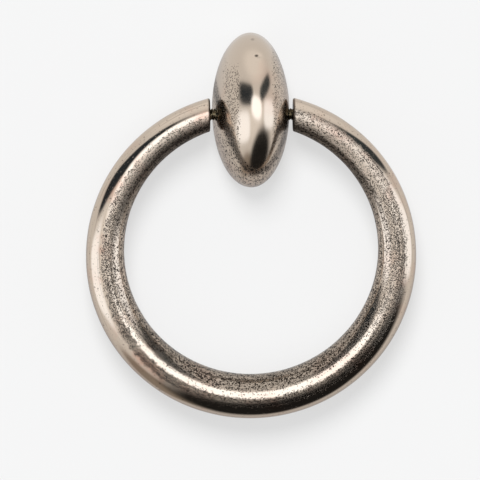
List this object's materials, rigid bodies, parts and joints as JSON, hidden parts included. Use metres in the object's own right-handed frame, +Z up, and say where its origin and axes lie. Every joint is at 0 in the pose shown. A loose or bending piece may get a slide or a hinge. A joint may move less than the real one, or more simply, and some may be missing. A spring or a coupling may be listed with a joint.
{
  "type": "ring pull handle",
  "caption": "Drop-ring drawer pull: a domed oval boss screws to the drawer front from behind and carries a tapered open ring that swings up on pivot pins for the fingers.",
  "frame": {"origin": "centre of the boss's back face, at the mouth of the fixing hole", "axes": "+Z up the drawer front, +Y into the drawer front, +X to the right as seen by someone facing the drawer; the handle stands out towards -Y"},
  "size_m": [0.06, 0.0158, 0.07],
  "materials": {
    "antique_pewter": "semi-polished antique pewter with fine dark pitting and a faint copper tint",
    "pin_steel": "dull turned steel"
  },
  "bodies": {
    "boss": {"boss": "antique_pewter"},
    "ring": {"ring": "antique_pewter", "pivot_pin_left": "pin_steel", "pivot_pin_right": "pin_steel"}
  },
  "joints": [
    {"name": "ring_swing", "type": "hinge", "parent": "boss", "child": "ring", "pos_m": [0, -0.00647, 0], "axis": [-1, 0, 0], "range_deg": [-2.6, 182.6]}
  ]
}
